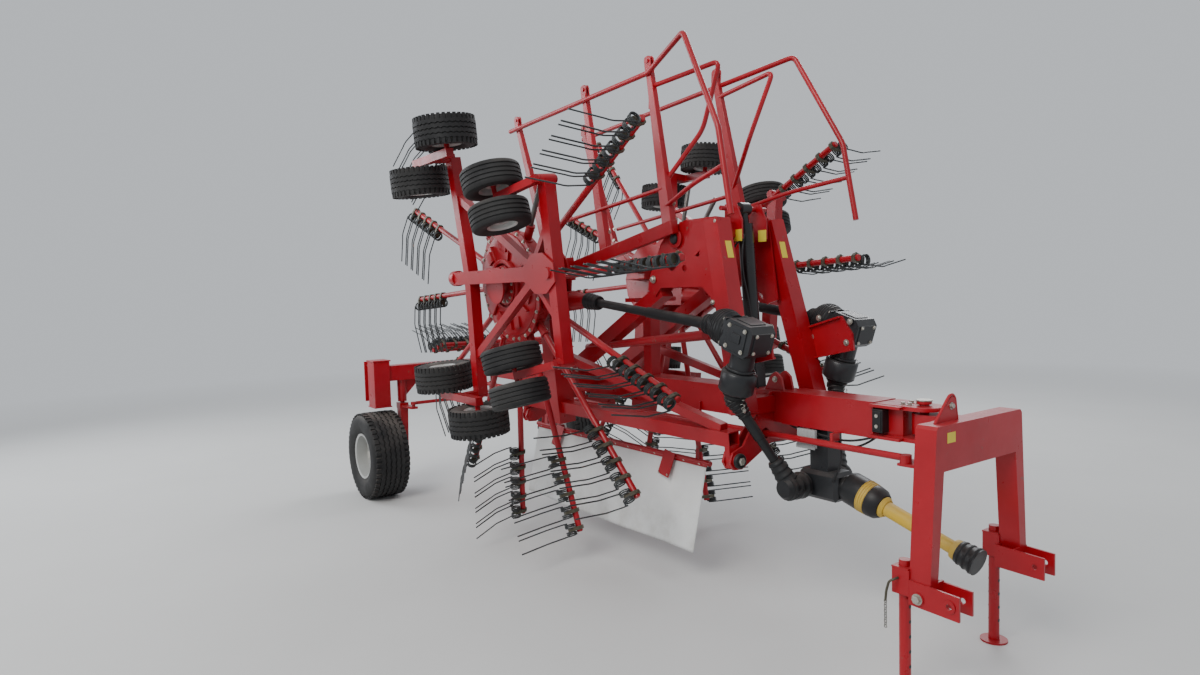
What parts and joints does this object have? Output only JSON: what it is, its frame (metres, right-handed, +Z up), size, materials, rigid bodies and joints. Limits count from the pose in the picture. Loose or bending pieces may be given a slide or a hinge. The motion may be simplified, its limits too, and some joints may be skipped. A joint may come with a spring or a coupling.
{
  "type": "rotary rake",
  "caption": "Trailed twin-rotor hay rake folded upright for the road, with steered rear wheels, tine arms, caster wheels and guard frames.",
  "frame": {"origin": "on the floor, under the middle of the overall length and width", "axes": "+X forward to the hitch, +Y to the left, +Z up"},
  "size_m": [6.1, 3.0668, 3.5694],
  "materials": {
    "red_paint": "semi-gloss, slightly faded",
    "tyre_rubber": "matt black rubber",
    "rim_grey": "satin silver grey",
    "black_casting": "satin black",
    "black_plastic": "matt",
    "yellow_plastic": "matt, dusty",
    "curtain_sheet": "coated cloth, off-white"
  },
  "bodies": {
    "root": {"main_beam": "red_paint", "fold_brackets": "red_paint", "tower_legs": "red_paint", "tower_stays": "red_paint", "rear_axle": "red_paint", "central_gearbox": "black_casting", "side_shafts": "black_plastic", "side_gearboxes": "black_casting", "input_shaft": "yellow_plastic", "lift_cylinder": "black_casting", "curtain_frame": "red_paint", "swath_curtain": "curtain_sheet", "spare_tine_arms": "red_paint"},
    "headstock": {"headstock": "red_paint"},
    "ground_leg_left": {"ground_leg_left": "red_paint"},
    "ground_leg_right": {"ground_leg_right": "red_paint"},
    "steering_push_rod": {"steering_push_rod": "red_paint"},
    "steering_bellcrank": {"steering_bellcrank": "red_paint"},
    "tie_rod": {"tie_rod": "red_paint"},
    "knuckle_left": {"knuckle_left": "red_paint"},
    "road_wheel_left": {"road_rim_left": "rim_grey", "road_tyre_left": "tyre_rubber"},
    "knuckle_right": {"knuckle_right": "red_paint"},
    "road_wheel_right": {"road_rim_right": "rim_grey", "road_tyre_right": "tyre_rubber"},
    "fold_frame_left": {"fold_frame_left": "red_paint"},
    "carriage_left": {"gearcase_left": "red_paint", "undercarriage_left": "red_paint", "guard_frame_left": "red_paint"},
    "rotor_left": {"rotor_hub_left": "red_paint", "tine_arms_left": "red_paint"},
    "drive_shaft_left": {"drive_shaft_left": "black_plastic"},
    "caster_top_left": {"caster_top_left": "red_paint"},
    "caster_wheels_top_left": {"caster_wheels_top_left": "tyre_rubber"},
    "tandem_front_top_left": {"tandem_front_top_left": "tyre_rubber"},
    "tandem_rear_top_left": {"tandem_rear_top_left": "tyre_rubber"},
    "caster_low_left": {"caster_low_left": "red_paint"},
    "caster_wheels_low_left": {"caster_wheels_low_left": "tyre_rubber"},
    "tandem_front_low_left": {"tandem_front_low_left": "tyre_rubber"},
    "tandem_rear_low_left": {"tandem_rear_low_left": "tyre_rubber"},
    "fold_frame_right": {"fold_frame_right": "red_paint"},
    "carriage_right": {"gearcase_right": "red_paint", "undercarriage_right": "red_paint", "guard_frame_right": "red_paint"},
    "rotor_right": {"rotor_hub_right": "red_paint", "tine_arms_right": "red_paint"},
    "drive_shaft_right": {"drive_shaft_right": "black_plastic"},
    "caster_top_right": {"caster_top_right": "red_paint"},
    "caster_wheels_top_right": {"caster_wheels_top_right": "tyre_rubber"},
    "tandem_front_top_right": {"tandem_front_top_right": "tyre_rubber"},
    "tandem_rear_top_right": {"tandem_rear_top_right": "tyre_rubber"},
    "caster_low_right": {"caster_low_right": "red_paint"},
    "caster_wheels_low_right": {"caster_wheels_low_right": "tyre_rubber"},
    "tandem_front_low_right": {"tandem_front_low_right": "tyre_rubber"},
    "tandem_rear_low_right": {"tandem_rear_low_right": "tyre_rubber"}
  },
  "joints": [
    {"name": "headstock_turn", "type": "hinge", "parent": "root", "child": "headstock", "pos_m": [2.595, 0, 1.245], "axis": [0, 0, 1], "range_deg": [-40, 40]},
    {"name": "ground_leg_left_slide", "type": "slide", "parent": "headstock", "child": "ground_leg_left", "axis": [0, 0, 1], "range_m": [0, 0.42]},
    {"name": "ground_leg_right_slide", "type": "slide", "parent": "headstock", "child": "ground_leg_right", "axis": [0, 0, 1], "range_m": [0, 0.42]},
    {"name": "push_rod_slide", "type": "slide", "parent": "root", "child": "steering_push_rod", "axis": [1, 0, 0], "range_m": [-0.12, 0.12]},
    {"name": "bellcrank_turn", "type": "hinge", "parent": "root", "child": "steering_bellcrank", "pos_m": [-2.295, 0, 1], "axis": [0, 0, 1], "range_deg": [-42, 42]},
    {"name": "tie_rod_slide", "type": "slide", "parent": "root", "child": "tie_rod", "axis": [0, 1, 0], "range_m": [-0.08, 0.08]},
    {"name": "knuckle_left_turn", "type": "hinge", "parent": "root", "child": "knuckle_left", "pos_m": [-2.625, 0.86, 0.9], "axis": [0, 0, 1], "range_deg": [-22, 22]},
    {"name": "road_wheel_left_spin", "type": "hinge", "parent": "knuckle_left", "child": "road_wheel_left", "pos_m": [-2.625, 1.13, 0.425], "axis": [0, 1, 0], "continuous": true},
    {"name": "knuckle_right_turn", "type": "hinge", "parent": "root", "child": "knuckle_right", "pos_m": [-2.625, -0.86, 0.9], "axis": [0, 0, 1], "range_deg": [-22, 22]},
    {"name": "road_wheel_right_spin", "type": "hinge", "parent": "knuckle_right", "child": "road_wheel_right", "pos_m": [-2.625, -1.13, 0.425], "axis": [0, 1, 0], "continuous": true},
    {"name": "fold_left", "type": "hinge", "parent": "root", "child": "fold_frame_left", "pos_m": [1.595, 0.42, 0.95], "axis": [1, 0, 0], "range_deg": [-85, 0]},
    {"name": "extend_left", "type": "slide", "parent": "fold_frame_left", "child": "carriage_left", "axis": [0, 0.0872, 0.9962], "range_m": [-0.005, 0.725]},
    {"name": "rotor_left_spin", "type": "hinge", "parent": "carriage_left", "child": "rotor_left", "pos_m": [-0.305, 0.79829, 2.06126], "axis": [0, -0.9962, 0.0872], "continuous": true},
    {"name": "drive_shaft_left_swing", "type": "hinge", "parent": "root", "child": "drive_shaft_left", "pos_m": [1.61571, 0.475, 1.755], "axis": [-0.1432, -0.547, -0.8248], "range_deg": [-1, 56.32]},
    {"name": "caster_top_left_swivel", "type": "hinge", "parent": "carriage_left", "child": "caster_top_left", "pos_m": [0.625, 1.07672, 2.7195], "axis": [0, 0.9962, -0.0872], "range_deg": [0, 28]},
    {"name": "caster_wheels_top_left_spin", "type": "hinge", "parent": "caster_top_left", "child": "caster_wheels_top_left", "pos_m": [0.3145, 1.28415, 2.62364], "axis": [-0.2419, 0.0846, 0.9666], "continuous": true},
    {"name": "tandem_front_top_left_spin", "type": "hinge", "parent": "carriage_left", "child": "tandem_front_top_left", "pos_m": [-0.405, 1.29761, 3.17899], "axis": [0, 0.0872, 0.9962], "continuous": true},
    {"name": "tandem_rear_top_left_spin", "type": "hinge", "parent": "carriage_left", "child": "tandem_rear_top_left", "pos_m": [-0.965, 1.27198, 2.88611], "axis": [0, 0.0872, 0.9962], "continuous": true},
    {"name": "caster_low_left_swivel", "type": "hinge", "parent": "carriage_left", "child": "caster_low_left", "pos_m": [0.625, 0.97213, 1.52406], "axis": [0, 0.9962, -0.0872], "range_deg": [0, 28]},
    {"name": "caster_wheels_low_left_spin", "type": "hinge", "parent": "caster_low_left", "child": "caster_wheels_low_left", "pos_m": [0.3145, 1.17957, 1.4282], "axis": [-0.2419, 0.0846, 0.9666], "continuous": true},
    {"name": "tandem_front_low_left_spin", "type": "hinge", "parent": "carriage_left", "child": "tandem_front_low_left", "pos_m": [-0.405, 1.10988, 1.03319], "axis": [0, 0.0872, 0.9962], "continuous": true},
    {"name": "tandem_rear_low_left_spin", "type": "hinge", "parent": "carriage_left", "child": "tandem_rear_low_left", "pos_m": [-0.965, 1.1355, 1.32607], "axis": [0, 0.0872, 0.9962], "continuous": true},
    {"name": "fold_right", "type": "hinge", "parent": "root", "child": "fold_frame_right", "pos_m": [1.595, -0.42, 0.95], "axis": [-1, 0, 0], "range_deg": [-85, 0]},
    {"name": "extend_right", "type": "slide", "parent": "fold_frame_right", "child": "carriage_right", "axis": [0, -0.0872, 0.9962], "range_m": [-0.005, 0.725]},
    {"name": "rotor_right_spin", "type": "hinge", "parent": "carriage_right", "child": "rotor_right", "pos_m": [-0.305, -0.79829, 2.06126], "axis": [0, -0.9962, -0.0872], "continuous": true},
    {"name": "drive_shaft_right_swing", "type": "hinge", "parent": "root", "child": "drive_shaft_right", "pos_m": [1.61571, -0.475, 1.755], "axis": [0.1432, -0.547, 0.8248], "range_deg": [-1, 56.32]},
    {"name": "caster_top_right_swivel", "type": "hinge", "parent": "carriage_right", "child": "caster_top_right", "pos_m": [0.625, -1.07672, 2.7195], "axis": [0, 0.9962, 0.0872], "range_deg": [0, 28]},
    {"name": "caster_wheels_top_right_spin", "type": "hinge", "parent": "caster_top_right", "child": "caster_wheels_top_right", "pos_m": [0.3145, -1.28415, 2.62364], "axis": [0.2419, 0.0846, -0.9666], "continuous": true},
    {"name": "tandem_front_top_right_spin", "type": "hinge", "parent": "carriage_right", "child": "tandem_front_top_right", "pos_m": [-0.405, -1.29761, 3.17899], "axis": [0, 0.0872, -0.9962], "continuous": true},
    {"name": "tandem_rear_top_right_spin", "type": "hinge", "parent": "carriage_right", "child": "tandem_rear_top_right", "pos_m": [-0.965, -1.27198, 2.88611], "axis": [0, 0.0872, -0.9962], "continuous": true},
    {"name": "caster_low_right_swivel", "type": "hinge", "parent": "carriage_right", "child": "caster_low_right", "pos_m": [0.625, -0.97213, 1.52406], "axis": [0, 0.9962, 0.0872], "range_deg": [0, 28]},
    {"name": "caster_wheels_low_right_spin", "type": "hinge", "parent": "caster_low_right", "child": "caster_wheels_low_right", "pos_m": [0.3145, -1.17957, 1.4282], "axis": [0.2419, 0.0846, -0.9666], "continuous": true},
    {"name": "tandem_front_low_right_spin", "type": "hinge", "parent": "carriage_right", "child": "tandem_front_low_right", "pos_m": [-0.405, -1.10988, 1.03319], "axis": [0, 0.0872, -0.9962], "continuous": true},
    {"name": "tandem_rear_low_right_spin", "type": "hinge", "parent": "carriage_right", "child": "tandem_rear_low_right", "pos_m": [-0.965, -1.1355, 1.32607], "axis": [0, 0.0872, -0.9962], "continuous": true}
  ],
  "couplings": [
    {"joint": "push_rod_slide", "follows": "headstock_turn", "m_per_rad": 0.15652},
    {"joint": "bellcrank_turn", "follows": "headstock_turn", "ratio": 1},
    {"joint": "tie_rod_slide", "follows": "headstock_turn", "m_per_rad": -0.10128},
    {"joint": "knuckle_left_turn", "follows": "headstock_turn", "ratio": -0.46868},
    {"joint": "knuckle_right_turn", "follows": "headstock_turn", "ratio": -0.46868},
    {"joint": "extend_left", "follows": "fold_left", "m_per_rad": -0.48533},
    {"joint": "drive_shaft_left_swing", "follows": "fold_left", "ratio": -0.65081},
    {"joint": "extend_right", "follows": "fold_right", "m_per_rad": -0.48533},
    {"joint": "drive_shaft_right_swing", "follows": "fold_right", "ratio": -0.65081}
  ]
}
